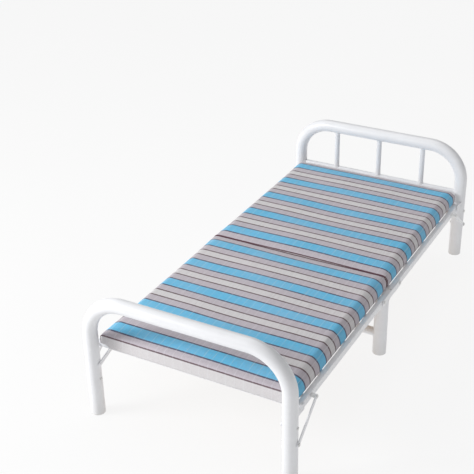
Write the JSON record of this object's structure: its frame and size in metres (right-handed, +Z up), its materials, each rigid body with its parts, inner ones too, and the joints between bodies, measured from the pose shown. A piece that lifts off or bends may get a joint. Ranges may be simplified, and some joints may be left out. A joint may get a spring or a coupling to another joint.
{
  "type": "rollaway bed",
  "caption": "Folding steel bed with tubular end arches, side rails, a folding centre leg and a thin striped mattress in two halves that folds in the middle.",
  "frame": {"origin": "on the floor, midway between the foot arch and the head arch and midway between the side rails", "axes": "+X across the bed to the right seen from the foot, +Y along the bed from foot to head, +Z up"},
  "size_m": [0.9496, 1.9598, 0.6],
  "materials": {
    "white_steel": "gloss powder coat",
    "painted_bolt": "white enamel",
    "plastic": "moulded",
    "mattress_cloth": "printed woven polyester over foam",
    "plywood": "raw plywood"
  },
  "bodies": {
    "foot_half": {"foot_rail_left": "white_steel", "foot_rail_right": "white_steel", "foot_end_rail": "white_steel", "foot_fold_rail": "white_steel", "foot_slats": "white_steel", "foot_board": "plywood", "foot_pad": "mattress_cloth", "foot_rail_plugs": "plastic", "foot_pivot_bolts": "painted_bolt", "foot_sleeves": "painted_bolt", "foot_fold_bolts": "painted_bolt"},
    "centre_frame": {"fold_plate_left": "white_steel", "fold_plate_right": "white_steel", "centre_leg_left": "white_steel", "centre_leg_right": "white_steel", "centre_crossbar": "white_steel", "centre_leg_ears": "white_steel", "centre_leg_caps": "plastic", "centre_leg_tops": "plastic"},
    "head_half": {"head_rail_left": "white_steel", "head_rail_right": "white_steel", "head_end_rail": "white_steel", "head_fold_rail": "white_steel", "head_slats": "white_steel", "head_board": "plywood", "head_pad": "mattress_cloth", "head_rail_plugs": "plastic", "head_pivot_bolts": "painted_bolt", "head_sleeves": "painted_bolt", "head_fold_bolts": "painted_bolt"},
    "foot_stays": {"foot_stay_left": "white_steel", "foot_stay_right": "white_steel"},
    "foot_end_frame": {"foot_arch": "white_steel", "foot_cheeks": "white_steel", "foot_arch_caps": "plastic", "foot_arch_bolts": "painted_bolt"},
    "foot_links": {"foot_link_left": "white_steel", "foot_link_right": "white_steel"},
    "head_stays": {"head_stay_left": "white_steel", "head_stay_right": "white_steel"},
    "head_end_frame": {"head_arch": "white_steel", "head_bar_left": "white_steel", "head_bar_centre": "white_steel", "head_bar_right": "white_steel", "head_crossbar": "white_steel", "head_cheeks": "white_steel", "head_arch_caps": "plastic", "head_arch_bolts": "painted_bolt"},
    "head_links": {"head_link_left": "white_steel", "head_link_right": "white_steel"}
  },
  "joints": [
    {"name": "fold", "type": "hinge", "parent": "foot_half", "child": "centre_frame", "pos_m": [0, -0.09, 0.29], "axis": [-1, 0, 0], "range_deg": [0, 90]},
    {"name": "head_fold", "type": "hinge", "parent": "centre_frame", "child": "head_half", "pos_m": [0, 0.09, 0.29], "axis": [-1, 0, 0], "range_deg": [0, 90]},
    {"name": "foot_stay_pivot", "type": "hinge", "parent": "foot_half", "child": "foot_stays", "pos_m": [0, -0.8, 0.29], "axis": [1, 0, 0], "range_deg": [0, 127.56]},
    {"name": "foot_arch_pivot", "type": "hinge", "parent": "foot_stays", "child": "foot_end_frame", "pos_m": [0, -0.95, 0.172], "axis": [-1, 0, 0], "range_deg": [0, 37.56]},
    {"name": "foot_link_pivot", "type": "hinge", "parent": "foot_half", "child": "foot_links", "pos_m": [0, -0.81899, 0.29], "axis": [1, 0, 0], "range_deg": [0, 141.56]},
    {"name": "head_stay_pivot", "type": "hinge", "parent": "head_half", "child": "head_stays", "pos_m": [0, 0.8, 0.29], "axis": [-1, 0, 0], "range_deg": [0, 127.56]},
    {"name": "head_arch_pivot", "type": "hinge", "parent": "head_stays", "child": "head_end_frame", "pos_m": [0, 0.95, 0.172], "axis": [1, 0, 0], "range_deg": [0, 37.56]},
    {"name": "head_link_pivot", "type": "hinge", "parent": "head_half", "child": "head_links", "pos_m": [0, 0.81899, 0.29], "axis": [-1, 0, 0], "range_deg": [0, 141.56]}
  ],
  "couplings": [
    {"joint": "head_fold", "follows": "fold", "ratio": 1},
    {"joint": "foot_stay_pivot", "follows": "fold", "ratio": 1.4172},
    {"joint": "foot_arch_pivot", "follows": "fold", "ratio": 0.41725},
    {"joint": "foot_link_pivot", "follows": "fold", "ratio": 1.5728},
    {"joint": "head_stay_pivot", "follows": "fold", "ratio": 1.4172},
    {"joint": "head_arch_pivot", "follows": "fold", "ratio": 0.41725},
    {"joint": "head_link_pivot", "follows": "fold", "ratio": 1.5728}
  ]
}
